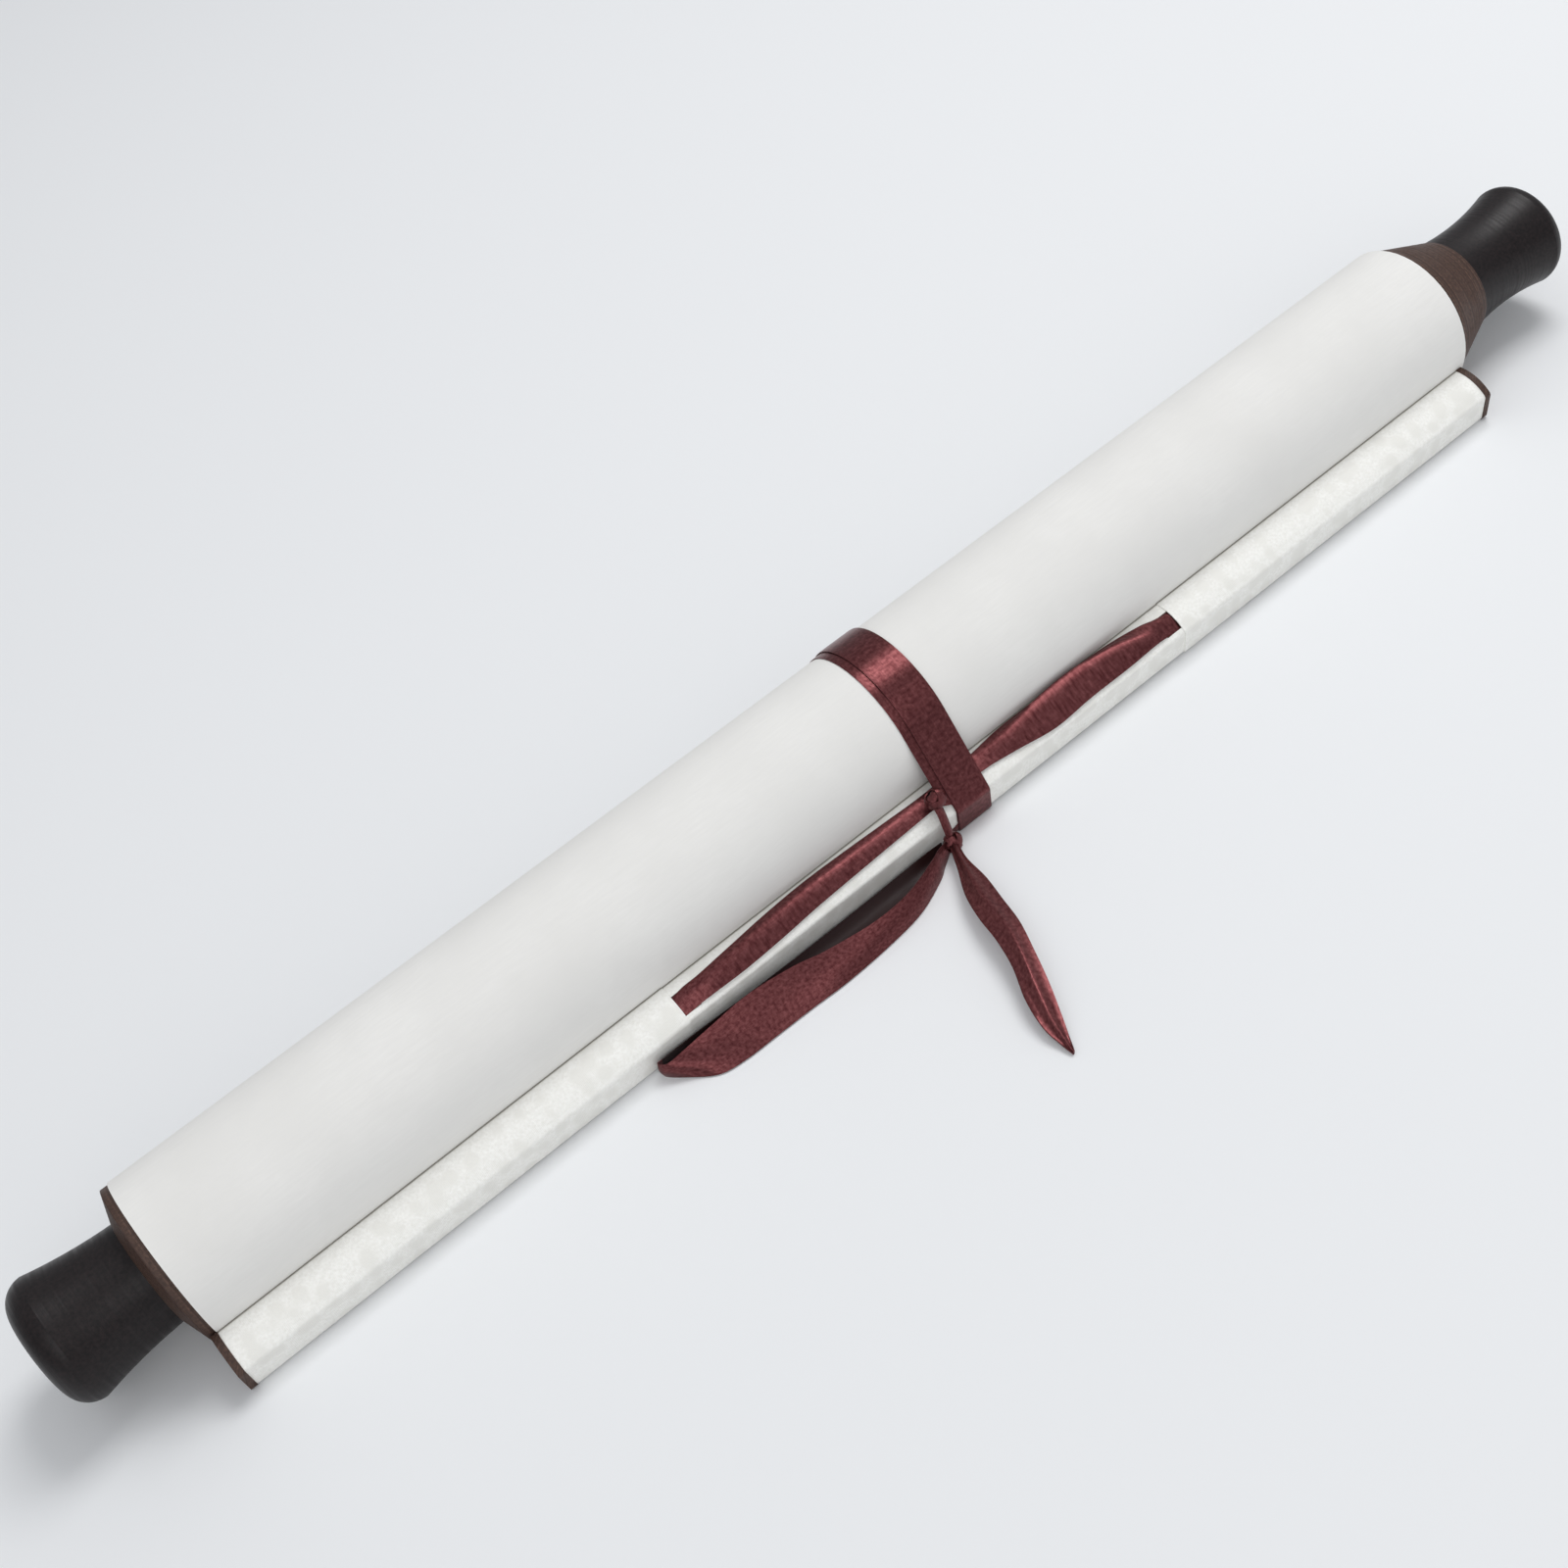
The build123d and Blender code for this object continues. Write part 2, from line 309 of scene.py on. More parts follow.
def silk_finish():
    material, tree, shader = new_finish(
        "white_silk", Roughness=0.5, Sheen_Weight=0.12, Sheen_Roughness=0.4, Specular_IOR_Level=0.4
    )
    place = object_place(tree)
    mottle = add_mottle(tree, place, 120, 1500)
    blossoms = add_node(
        tree,
        "ShaderNodeTexVoronoi",
        {"Vector": place, "Scale": BLOSSOMS_PER_METRE, "Randomness": 0.55},
        feature="SMOOTH_F1",
    )
    figure = spread(tree, blossoms.outputs["Distance"], 0.0, 1.0, 0.28, 0.42)
    weave = {"Vector": place, "Scale": THREADS_PER_METRE, "Distortion": 1.5, "Detail": 1}
    warp = add_node(tree, "ShaderNodeTexWave", weave)
    weft = add_node(tree, "ShaderNodeTexWave", weave, bands_direction="Z")
    threads = work_out(tree, "ADD", warp.outputs["Fac"], weft.outputs["Fac"])
    height = work_out(tree, "ADD", threads, figure)
    shade = work_out(tree, "MULTIPLY", figure, mottle.outputs["Specks"])
    silk = between(tree, shade, (0.85, 0.84, 0.795), (0.965, 0.96, 0.925))
    # Painted shade: the silk is darkened to an olive brown close to the roll, for the crevice's
    # shadow.
    reach = reach_from_axis(tree, place)
    seam_shade = spread(tree, reach, 1.0, 0.0, ROLL_RADIUS + SEAM_SHADE_NEAR, ROLL_RADIUS + SEAM_SHADE_FAR)
    tree.links.new(between(tree, seam_shade, silk, SEAM_SHADE_COLOUR), shader.inputs["Base Color"])
    tree.links.new(spread(tree, figure, 0.42, 0.62), shader.inputs["Roughness"])
    relief(tree, shader, height, 0.00003, 0.5)
    return material


# %% [markdown]
# ## Brown collars and end plates
# Their wood is stained a matt reddish brown over turned rings, with the stain a little
# thicker in places.


# %% Stained wood, matt
def collar_finish():
    material, tree, shader = new_finish("brown_stain", Roughness=0.62, Specular_IOR_Level=0.35)
    place = object_place(tree)
    rings = add_rings(tree, place, 2200)
    mottle = add_mottle(tree, place, 160, 1500)
    uneven = work_out(tree, "MULTIPLY", rings, mottle.outputs["Specks"])
    colour = between(tree, uneven, (0.045, 0.024, 0.018), (0.13, 0.072, 0.052))
    tree.links.new(colour, shader.inputs["Base Color"])
    tree.links.new(spread(tree, mottle.outputs["Clouds"], 0.5, 0.72), shader.inputs["Roughness"])
    relief(tree, shader, rings, 0.00008, 0.6)
    return material


# %% [markdown]
# ## The dark knobs
# The knobs are turned, stained nearly black and waxed, so their shine is soft and broken by
# the tool's rings.


# %% Stained wood, waxed
def knob_finish():
    material, tree, shader = new_finish(
        "dark_knob", Roughness=0.4, Specular_IOR_Level=0.24, Coat_Weight=0.05, Coat_Roughness=0.3
    )
    place = object_place(tree)
    rings = add_rings(tree, place, 900)
    mottle = add_mottle(tree, place, 90, 1300)
    colour = between(tree, mottle.outputs["Specks"], (0.005, 0.0035, 0.004), (0.016, 0.0105, 0.011))
    tree.links.new(colour, shader.inputs["Base Color"])
    tree.links.new(spread(tree, rings, 0.36, 0.5), shader.inputs["Roughness"])
    relief(tree, shader, rings, 0.00004, 0.5)
    return material


# %% [markdown]
# ## Plain wood
# The roller and the batten's core are hidden, but each still has its planed softwood.


# %% Plain wood
LONG_GRAIN = (0.05, 1, 1)


def wood_finish():
    material, tree, shader = new_finish("plain_wood", Roughness=0.7)
    place = object_place(tree)
    along = add_node(tree, "ShaderNodeMapping", {"Vector": place, "Scale": LONG_GRAIN})
    grain = add_mottle(tree, along.outputs[0], 300, 1800)
    colour = between(tree, grain.outputs["Specks"], (0.38, 0.24, 0.12), (0.6, 0.43, 0.25))
    tree.links.new(colour, shader.inputs["Base Color"])
    tree.links.new(spread(tree, grain.outputs["Clouds"], 0.6, 0.8), shader.inputs["Roughness"])
    relief(tree, shader, grain.outputs["Specks"], 0.00004, 0.5)
    return material


# %% [markdown]
# ## Maroon satin
# Satin has long threads on its face, all along the ribbon. They mirror the light in a streak
# across their own direction, in the thread's own colour, which is why one fold shines and
# the next is nearly black. So the shader is partly metallic, with its shine stretched across
# the ribbon, and its tangent comes from the UV map, which is in millimetres. Noise drawn out
# along the ribbon makes the threads: it stays even from far off, where fine waves would not.
# The reverse of satin is dull, and is painted nearly black as the shade of the crevice it lies
# in. It lies beside the face on the UV map, so the place across the map tells the two apart.


# %% Satin
RIBBON_WIDTH = 12.0
SHADED_REVERSE_SIDE = 20.0
BETWEEN_SIDES = (RIBBON_WIDTH + SHADED_REVERSE_SIDE) / 2
FINE_THREADS = (4.5, 0.7, 1)
# The dull back of the satin, darkened nearly to black as painted shade of the crevice.
REVERSE_PAINTED_SHADE_COLOUR = (0.02, 0.006, 0.006)


def satin_finish():
    material, tree, shader = new_finish(
        "maroon_satin", Roughness=0.36, Specular_IOR_Level=0.2, Anisotropic=0.75
    )
    place = add_node(tree, "ShaderNodeUVMap", uv_map="ribbon").outputs["UV"]
    drawn_out = add_node(tree, "ShaderNodeMapping", {"Vector": place, "Scale": FINE_THREADS})
    threads = add_node(
        tree, "ShaderNodeTexNoise", {"Vector": drawn_out.outputs[0], "Scale": 1.0, "Detail": 3}
    )
    mottle = add_mottle(tree, place, 0.12, 1.1)
    shade = work_out(tree, "MULTIPLY", mottle.outputs["Specks"], threads.outputs["Fac"])
    face = between(tree, shade, (0.085, 0.02, 0.022), (0.315, 0.11, 0.112))
    parts = add_node(tree, "ShaderNodeSeparateXYZ", {"Vector": place})
    # Where the map shows the back, the colour is the painted shade and the shine is dull.
    reverse_and_painted_shade = work_out(tree, "GREATER_THAN", parts.outputs["X"], BETWEEN_SIDES)
    tree.links.new(between(tree, reverse_and_painted_shade, face, REVERSE_PAINTED_SHADE_COLOUR), shader.inputs["Base Color"])
    tree.links.new(spread(tree, reverse_and_painted_shade, 0.8, 0.0), shader.inputs["Metallic"])
    tree.links.new(spread(tree, mottle.outputs["Clouds"], 0.3, 0.38), shader.inputs["Roughness"])
    tangent = add_node(tree, "ShaderNodeTangent", direction_type="UV_MAP", uv_map="ribbon")
    tree.links.new(tangent.outputs["Tangent"], shader.inputs["Tangent"])
    relief(tree, shader, threads.outputs["Fac"], 0.00005, 0.5)
    return material


# %% [markdown]
# ## Finishes on the construction pieces
# Each finish goes into the slots of the pieces that wear it. Their meshes stay as they are.

# %% Give each piece its finish
satin = satin_finish()
finishes = {
    paper_finish(): ("scroll_roll",),
    silk_finish(): ("batten_wrap", "cover_left", "cover_right"),
    collar_finish(): ("collar_left", "collar_right", "end_plate_left", "end_plate_right"),
    knob_finish(): ("knob_left", "knob_right"),
    wood_finish(): ("roller", "batten_core"),
}
for finish, nodes in finishes.items():
    for node in nodes:
        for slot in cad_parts[node].material_slots:
            slot.material = finish
    print(finish.name, "on", ", ".join(nodes))

# %% [markdown]
# ## How a ribbon is shaped
# A folded ribbon is a strip whose section changes as it goes. It could be draped by a cloth
# simulation, but its folds are set by hand on the real scroll, so here each place along it
# has a few points across its width, and a smooth line runs through them both ways. The strip
# then gets the cloth's thickness from a Solidify modifier, and is closed all round.


# %% Helpers for ribbons
SMOOTH_BELOW = math.radians(50)


def through(points, share):
    """The point at a share, 0 to 1, of a smooth line through all the points."""
    spans = len(points) - 1
    place = share * spans
    index = min(int(place), spans - 1)
    t = place - index
    before = points[max(index - 1, 0)]
    start = points[index]
    end = points[index + 1]
    after = points[min(index + 2, spans)]
    return 0.5 * (
        2 * start
        + (end - before) * t
        + (2 * before - 5 * start + 4 * end - after) * t**2
        + (3 * start - before - 3 * end + after) * t**3
    )


def ribbon_strip(name, sections, steps_along, steps_across, thickness=0.2, shaded_reverse_from=1.0):
    """A strip of ribbon through the sections, which are rows of points in millimetres.

    Past the given share of its rows, the strip shows the satin's dull back, in painted shade.
    """
    lines = [[Vector(point) for point in line] for line in zip(*sections)]
    rows = []
    for j in range(steps_along + 1):
        section = [through(line, j / steps_along) for line in lines]
        rows.append([through(section, i / steps_across) for i in range(steps_across + 1)])
    centre = steps_across // 2
    along = [0.0]
    for before, after in zip(rows, rows[1:]):
        along.append(along[-1] + (after[centre] - before[centre]).length)
    width = steps_across + 1
    places = [point * MM for row in rows for point in row]
    faces = [
        (j * width + i, j * width + i + 1, (j + 1) * width + i + 1, (j + 1) * width + i)
        for j in range(steps_along)
        for i in range(steps_across)
    ]
    mesh = bpy.data.meshes.new(name)
    mesh.from_pydata(places, [], faces)
    strip_map = mesh.uv_layers.new(name="ribbon")
    for loop in mesh.loops:
        j, i = divmod(loop.vertex_index, width)
        # Rows past the share move across the map, onto the satin's painted shade.
        side = SHADED_REVERSE_SIDE if j > shaded_reverse_from * steps_along else 0
        strip_map.data[loop.index].uv = (RIBBON_WIDTH * i / steps_across + side, along[j])
    strip = bpy.data.objects.new(name, mesh)
    bpy.context.scene.collection.objects.link(strip)
    bpy.ops.object.select_all(action="DESELECT")
    strip.select_set(True)
    bpy.context.view_layer.objects.active = strip
    solidify = strip.modifiers.new("thickness", "SOLIDIFY")
    solidify.thickness = thickness * MM
    solidify.offset = 0
    bpy.ops.object.modifier_apply(modifier=solidify.name)
    bpy.ops.object.mode_set(mode="EDIT")
    bpy.ops.mesh.select_all(action="SELECT")
    bpy.ops.mesh.normals_make_consistent(inside=False)
    bpy.ops.object.mode_set(mode="OBJECT")
    bpy.ops.object.shade_smooth_by_angle(angle=SMOOTH_BELOW)
    print(name, len(mesh.polygons), "faces,", round(along[-1]), "mm long")
    return strip


# %% [markdown]
# ## The hanging ribbon
# It is fixed under the silk at both ends of its run, and lies folded double along the
# batten's round top. Each row gives its place along the batten, where its upper and lower
# edges lie, how far it is lifted, how high its top layer swells, and, where it matters, how
# far across the swell is. Both layers are modelled, the lower one flat on the silk. At the
# ends the lift is below the silk's surface, where the ribbon goes under the cover.


# %% Shape the hanging ribbon
def on_batten(x, y, lift):
    """The point of the batten's round top at x and y, lifted off the silk."""
    reach = WRAP_RADIUS + lift
    return (x, y, BATTEN_CENTRE[1] + math.sqrt(reach**2 - (y - BATTEN_CENTRE[0]) ** 2))


def doubled_section(x, upper, lower, lift, ridge, ridge_at=0.5):
    """Seven points of a ribbon folded at its upper edge: the under layer, then the top one."""
    edge_inset = 0.5
    fold = lift + 0.3
    top_layer = lift + 0.6
    return [
        on_batten(x, lower + edge_inset, lift),
        on_batten(x, (upper + lower) / 2, lift),
        on_batten(x, upper - edge_inset, lift),
        on_batten(x, upper, fold),
        on_batten(x, upper - 0.7, top_layer),
        on_batten(x, upper + (lower - upper) * ridge_at, top_layer + ridge),
        on_batten(x, lower, lift + 0.35),
    ]


hanging_rows = (
    (-77.5, -21.9, -26.2, -1.0, 0.0),
    (-72.5, -21.9, -26.3, -0.95, 0.0),
    (-68.5, -22.0, -26.6, -0.2, 0.1),
    (-64, -22.2, -26.9, 0.2, 0.4),
    (-55, -21.5, -27.0, 0.2, 0.8),
    (-44, -20.6, -26.7, 0.2, 0.9),
    (-33, -20.1, -26.2, 0.2, 0.8),
    (-22, -20.3, -25.9, 0.2, 0.5),
    (-10, -20.8, -25.6, 0.2, 0.3),
    (3, -21.2, -25.3, 0.15, 0.0),
    (17, -20.6, -25.2, 0.15, 0.0),
    (27, -19.6, -26.1, 0.2, 0.8),
    (38, -19.5, -27.2, 0.2, 1.6, 0.3),
    (50, -19.2, -26.9, 0.2, 1.8, 0.3),
    (62, -19.8, -26.9, 0.2, 1.5, 0.45),
    (71, -21.2, -26.7, 0.2, 0.8, 0.7),
    (75.5, -22.0, -26.6, -0.2, 0.1),
    (80, -21.9, -26.3, -0.95, 0.0),
    (85, -21.9, -26.2, -1.0, 0.0),
)
hanging_sections = [doubled_section(*row) for row in hanging_rows]
hanging = ribbon_strip("hanging_ribbon_cloth", hanging_sections, steps_along=220, steps_across=18)
hanging.data.materials.append(satin)
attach(hanging, "root")
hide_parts("hanging_ribbon")

# %% [markdown]
# ## The band round the roll
# The tie goes twice round the roll and the batten, pulled tight, so it follows the outline
# of both together and crosses the gap between them straight. The construction model's band
# has that outline on its right edge, and the hull of those points is the taut line. Only
# the band reaches behind the roller's axis, which tells it from the tie's loop and tail.

# %% Shape the two turns of the band
tie_points = [vertex.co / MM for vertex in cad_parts["tie_ribbon"].data.vertices]
BAND_LEFT = min(point.x for point in tie_points if point.y > 0)
BAND_RIGHT = max(point.x for point in tie_points if point.y > 0)
SAME_PLACE = 0.01
right_edge = [point.yz for point in tie_points if abs(point.x - BAND_RIGHT) < SAME_PLACE]
TAUT_OUTLINE = [right_edge[i] for i in convex_hull_2d(right_edge)]
BAND_MIDDLE = Vector((-3.0, AXIS_Z / MM))
UPPER_KNOT = (2.7, -26.5, 14.6)
LOWER_KNOT = (1.8, -29.8, 3.0)
GATHER_LENGTH = 5.0
BAND_SECTIONS = 160
BAND_ABOVE_TABLE = 0.16
# How the band is crowned: shares of its width, and how far it rises there.
BAND_CROWN = ((0, 0), (0.08, 0.06), (0.5, 0.08), (0.92, 0.06), (1, 0))


def taut_line(inset):
    """Points evenly spread round the taut outline, moved in by inset, as (y, z) in mm."""
    lengths = [0.0]
    closed = TAUT_OUTLINE + TAUT_OUTLINE[:1]
    for a, b in zip(closed, closed[1:]):
        lengths.append(lengths[-1] + (b - a).length)
    points = []
    for k in range(BAND_SECTIONS):
        target = lengths[-1] * k / BAND_SECTIONS
        i = max(n for n in range(len(TAUT_OUTLINE)) if lengths[n] <= target)
        share = (target - lengths[i]) / (lengths[i + 1] - lengths[i])
        point = closed[i].lerp(closed[i + 1], share)
        points.append(point + (BAND_MIDDLE - point).normalized() * inset)
    return points, lengths[-1]


def band_turn(name, left, right, inset, drawn_in=0.0):
    """One closed turn of ribbon, slightly crowned between its two woven edges.

    Below the upper knot its left edge is drawn in, because the knot has gathered it.
    """
    line, length = taut_line(inset)
    sections = []
    for point in line + line[:1]:
        outward = (point - BAND_MIDDLE).normalized()
        below_knot = (UPPER_KNOT[2] - point.y) / GATHER_LENGTH if point.x < UPPER_KNOT[1] else 0
        turn_left = left + drawn_in * min(max(below_knot, 0), 1)
        section = []
        for share, rise in BAND_CROWN:
            x = turn_left + (right - turn_left) * share
            y, z = point + outward * rise
            section.append((x, y, max(z, BAND_ABOVE_TABLE)))
        sections.append(section)
    print(name, "outline", round(length), "mm")
    return ribbon_strip(
        name, sections, steps_along=2 * BAND_SECTIONS, steps_across=10, thickness=0.18
    )


upper_turn = band_turn("band_upper_turn", BAND_LEFT + 2.2, BAND_RIGHT, inset=0.12)
lower_turn = band_turn("band_lower_turn", BAND_LEFT, BAND_RIGHT - 0.5, inset=0.5, drawn_in=2.0)

# %% [markdown]
# ## The loop
# One end of the tie runs out along the batten's foot, stands nearly on edge by the knot,
# leans back on the batten further out, and turns back at its far end. Each row is the foot
# of the ribbon on the table, its middle and its top edge. The strand that comes back lies
# between the first one and the batten, and shows the satin's dull back in painted shade.

# %% Shape the loop
TURNS_BACK_AT = 0.62
loop_rows = (
    ((1.2, -29.6, 1.4), (1.2, -29.9, 2.8), (1.3, -29.4, 4.4)),
    ((-3.0, -31.8, 0.4), (-2.8, -31.7, 2.8), (-2.6, -30.6, 5.0)),
    ((-7.0, -34.5, 0.3), (-6.6, -34.0, 3.0), (-6.0, -32.4, 5.5)),
    ((-16.0, -38.3, 0.3), (-15.9, -37.8, 3.3), (-15.8, -35.9, 6.0)),
    ((-27.0, -39.9, 0.3), (-26.5, -38.8, 3.4), (-26.0, -36.3, 5.8)),
    ((-39.5, -40.5, 0.3), (-39.0, -37.8, 3.6), (-38.5, -34.0, 5.6)),
    ((-49.0, -40.1, 0.3), (-47.8, -36.2, 3.6), (-46.5, -31.3, 5.3)),
    ((-59.0, -39.9, 0.3), (-58.5, -35.0, 3.5), (-58.0, -29.5, 5.2)),
    ((-67.5, -39.7, 0.3), (-68.3, -35.0, 3.4), (-69.0, -29.9, 5.0)),
    ((-74.0, -38.3, 0.3), (-75.2, -34.6, 3.2), (-76.5, -30.5, 5.0)),
    ((-79.3, -33.4, 0.3), (-80.6, -32.2, 2.8), (-81.5, -30.6, 5.0)),
    ((-82.8, -29.0, 0.3), (-83.4, -28.9, 2.6), (-83.0, -28.8, 4.9)),
    ((-80.5, -28.0, 0.3), (-80.6, -27.6, 2.2), (-80.5, -28.2, 4.4)),
    ((-70.0, -29.8, 0.3), (-70.0, -27.8, 1.3), (-70.0, -27.6, 3.6)),
    ((-55.0, -31.4, 0.3), (-55.0, -28.6, 0.7), (-55.0, -27.2, 2.6)),
    ((-40.0, -33.4, 0.3), (-40.0, -29.4, 0.5), (-40.0, -27.1, 2.2)),
    ((-25.0, -34.0, 0.3), (-25.0, -29.8, 0.5), (-25.0, -27.1, 2.2)),
    ((-13.0, -32.4, 0.3), (-13.0, -29.4, 0.8), (-13.0, -27.2, 2.6)),
    ((-5.0, -30.0, 0.5), (-5.0, -28.6, 1.6), (-5.0, -27.8, 3.4)),
    ((-0.5, -29.0, 1.4), (-0.5, -28.7, 2.6), (-0.5, -28.6, 4.0)),
)
loop = ribbon_strip(
    "tie_loop", loop_rows, steps_along=260, steps_across=12, shaded_reverse_from=TURNS_BACK_AT
)

# %% [markdown]
# ## The tail
# The other end lies folded along its length, lifted in the middle by its own stiffness, and
# is cut to a point that touches the table. Each row gives its left fold, ridge and right
# edge, and the under layer follows them.


# %% Shape the tail
def tail_section(left, ridge, right):
    """A folded tail: the under layer, the left fold, a sharp ridge and the right edge."""
    left, ridge, right = Vector(left), Vector(ridge), Vector(right)
    under = Vector((0, 0, -0.5))
    return [
        right.lerp(left, 0.12) + under,
        ridge.lerp(left, 0.35) + 1.6 * under,
        left.lerp(ridge, 0.18) + under,
        left,
        left.lerp(ridge, 0.45) + 0.9 * under,
        left.lerp(ridge, 0.88),
        ridge.lerp(right, 0.1),
        ridge.lerp(right, 0.55) + 0.6 * under,
        right,
    ]


tail_rows = (
    ((0.4, -30.3, 3.6), (1.5, -30.2, 4.6), (2.6, -30.2, 3.4)),
    ((-3.4, -38.0, 4.6), (-1.8, -38.0, 5.8), (-0.1, -37.6, 4.8)),
    ((-7.7, -46.0, 5.2), (-4.6, -46.0, 6.8), (-1.4, -46.0, 5.4)),
    ((-10.4, -54.0, 5.8), (-6.9, -54.0, 7.4), (-3.4, -54.0, 5.8)),
    ((-12.2, -62.0, 6.2), (-8.8, -62.0, 7.6), (-5.4, -62.0, 6.0)),
    ((-14.7, -70.0, 5.8), (-11.6, -70.0, 7.2), (-8.5, -70.0, 5.6)),
    ((-18.4, -78.0, 4.6), (-15.0, -78.0, 5.8), (-11.8, -78.0, 4.4)),
    ((-20.2, -85.0, 2.9), (-17.7, -85.0, 3.8), (-15.1, -85.0, 2.7)),
    ((-20.1, -90.0, 1.5), (-18.9, -90.0, 2.0), (-17.6, -90.0, 1.5)),
    ((-19.8, -93.0, 0.95), (-19.5, -93.1, 1.05), (-19.2, -93.0, 0.95)),
)
tail_sections = [tail_section(*row) for row in tail_rows]
tail = ribbon_strip("tie_tail", tail_sections, steps_along=140, steps_across=15)

# %% [markdown]
# ## The strand and the knots
# A short strand comes down over the batten's edge from one knot to the other. A knot in a
# narrow ribbon is a small bundle with a turn drawn round it, so each is a flattened sphere
# with a few shallow dents, and two turns of ribbon round it.

# %% Shape the strand
strand_rows = (
    ((1.0, -27.2, 14.6), (2.1, -28.0, 14.4), (3.2, -27.0, 14.2)),
    ((0.9, -28.4, 11.4), (2.0, -29.0, 11.2), (3.0, -28.4, 11.0)),
    ((0.7, -29.2, 8.4), (1.8, -29.8, 8.2), (2.8, -29.2, 8.2)),
    ((0.6, -29.7, 5.6), (1.7, -30.3, 5.4), (2.7, -29.7, 5.4)),
    ((0.5, -29.7, 3.4), (1.7, -30.4, 3.2), (2.8, -29.7, 3.2)),
)
strand = ribbon_strip("tie_strand", strand_rows, steps_along=40, steps_across=8)


# %% Shape a knot
# The bundle's flattening, and each turn's half width, its reach at the two edges and in the
# middle, and its flattening, are shares of the knot's size. The angle between the two turns
# is in radians.
BUNDLE_SHAPE = (1.0, 0.8, 0.92)
TURN_HALF_WIDTH = 0.42
TURN_REACH = {-1: 1.08, 0: 1.16, 1: 1.08}
TURN_FLATTENING = 0.86
TURN_SECTIONS = 12
BETWEEN_TURNS = 1.2


def knot(name, centre, size, lean):
    """A pinched bundle with two turns of ribbon drawn round it, centre and size in mm."""
    bpy.ops.object.select_all(action="DESELECT")
    bpy.ops.mesh.primitive_uv_sphere_add(segments=32, ring_count=20, radius=size * MM)
    bundle = bpy.context.object
    bundle.name = name
    bpy.ops.object.mode_set(mode="EDIT")
    bpy.ops.mesh.select_all(action="SELECT")
    bpy.ops.transform.resize(value=BUNDLE_SHAPE)
    bpy.ops.object.mode_set(mode="OBJECT")
    for vertex in bundle.data.vertices:
        angle = math.atan2(vertex.co.z, vertex.co.x)
        vertex.co *= 1 + 0.07 * math.sin(5 * angle + lean) - 0.05 * math.cos(3 * angle)
        vertex.co += Vector(centre) * MM
    bundle_map = bundle.data.uv_layers[0]
    bundle_map.name = "ribbon"
    for entry in bundle_map.data:
        entry.uv = (entry.uv[0] * RIBBON_WIDTH, entry.uv[1] * RIBBON_WIDTH)
    turns = []
    for number, tilt in enumerate((lean, lean + BETWEEN_TURNS)):
        sections = []
        for k in range(TURN_SECTIONS + 1):
            angle = math.tau * k / TURN_SECTIONS
            section = []
            for side, reach in TURN_REACH.items():
                depth = TURN_FLATTENING * reach * math.cos(angle)
                point = size * Vector((side * TURN_HALF_WIDTH, depth, reach * math.sin(angle)))
                point.rotate(Matrix.Rotation(tilt, 3, "Y"))
                section.append(Vector(centre) + point)
            sections.append(section)
        turn = ribbon_strip(
            f"{name}_turn_{number}",
            sections,
            steps_along=4 * TURN_SECTIONS,
            steps_across=8,
            thickness=0.3,
        )
        turns.append(turn)
    return [bundle, *turns]


upper_knot = knot("upper_knot", UPPER_KNOT, 2.2, 0.5)
lower_knot = knot("lower_knot", LOWER_KNOT, 2.1, -0.4)

# %% [markdown]
# ## One ribbon
# All of these are one length of ribbon, so they are joined into one piece, which stands for
# the plain solid that the construction model keeps in its place.

# %% Join the tie ribbon
bpy.ops.object.select_all(action="DESELECT")
for piece in (upper_turn, lower_turn, loop, tail, strand, *upper_knot, *lower_knot):
    piece.select_set(True)
bpy.context.view_layer.objects.active = upper_turn
bpy.ops.object.join()
tie = bpy.context.object
tie.name = "tie_ribbon_cloth"
bpy.ops.object.shade_smooth_by_angle(angle=SMOOTH_BELOW)
tie.data.materials.clear()
tie.data.materials.append(satin)
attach(tie, "root")
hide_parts("tie_ribbon")
print("tie ribbon:", len(tie.data.polygons), "faces")

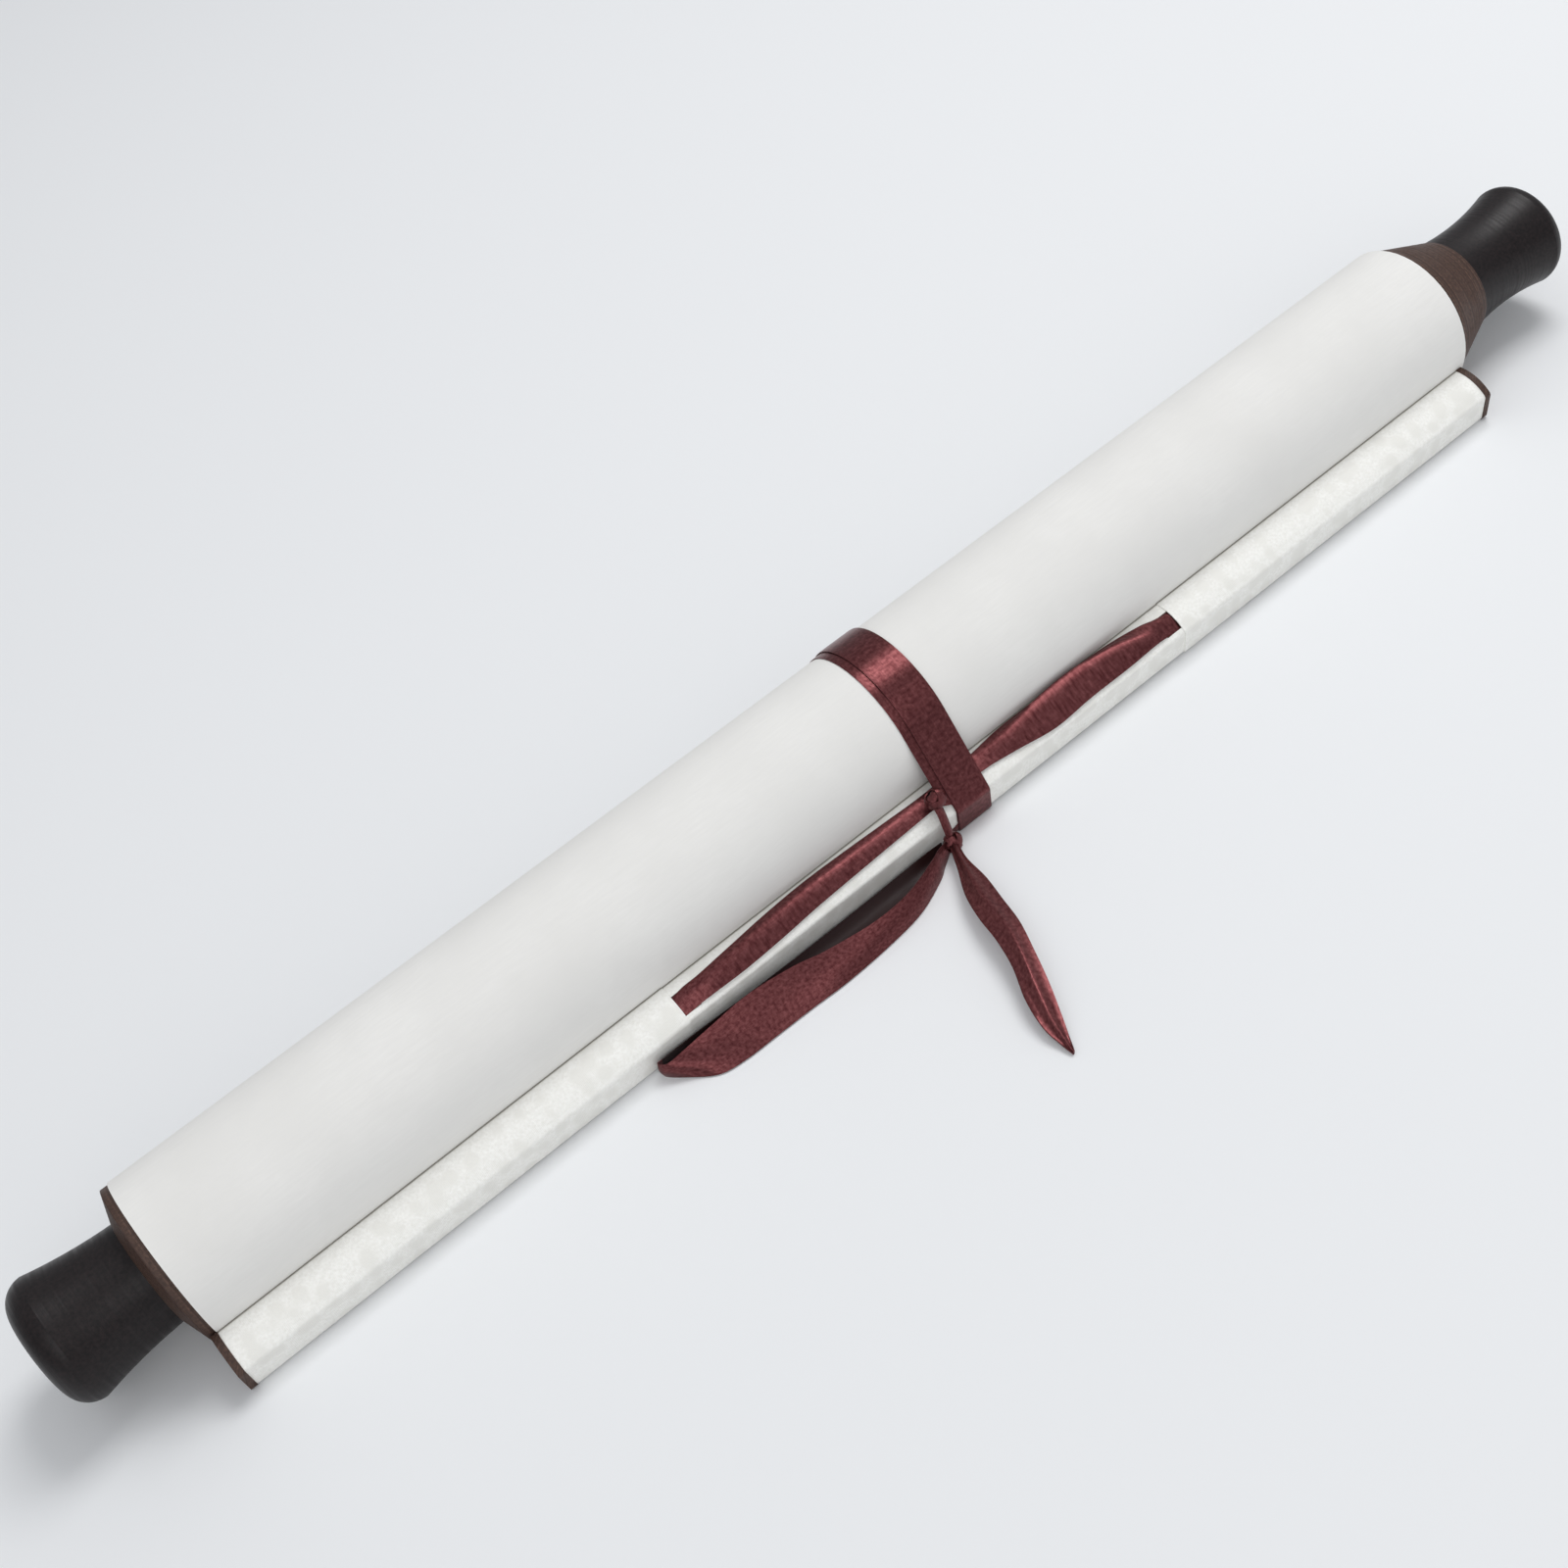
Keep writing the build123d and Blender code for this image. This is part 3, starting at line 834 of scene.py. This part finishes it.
# %% [markdown]
# ## The table and the light
# A plain pale floor takes the shadow. The main lamp hangs high on the right, a wide one in
# front fills its shadows, and most of the light is a sky that is brighter overhead than at
# the horizon. The floor is pale by its own colour, so the lamps can stay at a level that
# keeps white paper from burning out.

# %% Make the floor
FLOOR_SIZE = 8
FLOOR_COLOUR = (0.85, 0.86, 0.872, 1)
bpy.ops.object.select_all(action="DESELECT")
bpy.ops.mesh.primitive_plane_add(size=FLOOR_SIZE)
floor = bpy.context.object
floor.name = "floor"
floor_material, _, _ = new_finish("pale_floor", Roughness=0.9, Base_Color=FLOOR_COLOUR)
floor.data.materials.append(floor_material)


# %% Add the lights
def soft_light(name, place, size, power):
    """A square lamp that looks at the middle of the scroll, in metres and watts."""
    lamp_data = bpy.data.lights.new(name, "AREA")
    lamp_data.size = size
    lamp_data.energy = power
    lamp = bpy.data.objects.new(name, lamp_data)
    lamp.location = place
    lamp.rotation_euler = (-Vector(place)).to_track_quat("-Z", "Y").to_euler()
    bpy.context.scene.collection.objects.link(lamp)


soft_light("key", (0.8, 0.15, 1.5), size=0.8, power=12.0)
soft_light("fill", (-0.6, -1.6, 1.2), size=1.6, power=10.0)

SKY_COLOUR = (0.95, 0.97, 1, 1)
SKY_AT_HORIZON = 0.3
SKY_OVERHEAD = 0.62
SKY_BEHIND_FLOOR = 1.0
world = bpy.data.worlds.new("studio")
bpy.context.scene.world = world
world.use_nodes = True
sky_tree = world.node_tree
sky = sky_tree.nodes["Background"]
rays = add_node(sky_tree, "ShaderNodeLightPath")
direction = add_node(sky_tree, "ShaderNodeTexCoord")
height = add_node(sky_tree, "ShaderNodeSeparateXYZ", {"Vector": direction.outputs["Generated"]})
dome = spread(sky_tree, height.outputs["Z"], SKY_AT_HORIZON, SKY_OVERHEAD)
sky_strength = spread(sky_tree, rays.outputs["Is Camera Ray"], dome, SKY_BEHIND_FLOOR)
sky_tree.links.new(sky_strength, sky.inputs["Strength"])
sky.inputs["Color"].default_value = SKY_COLOUR
bpy.context.scene.view_settings.view_transform = "Standard"
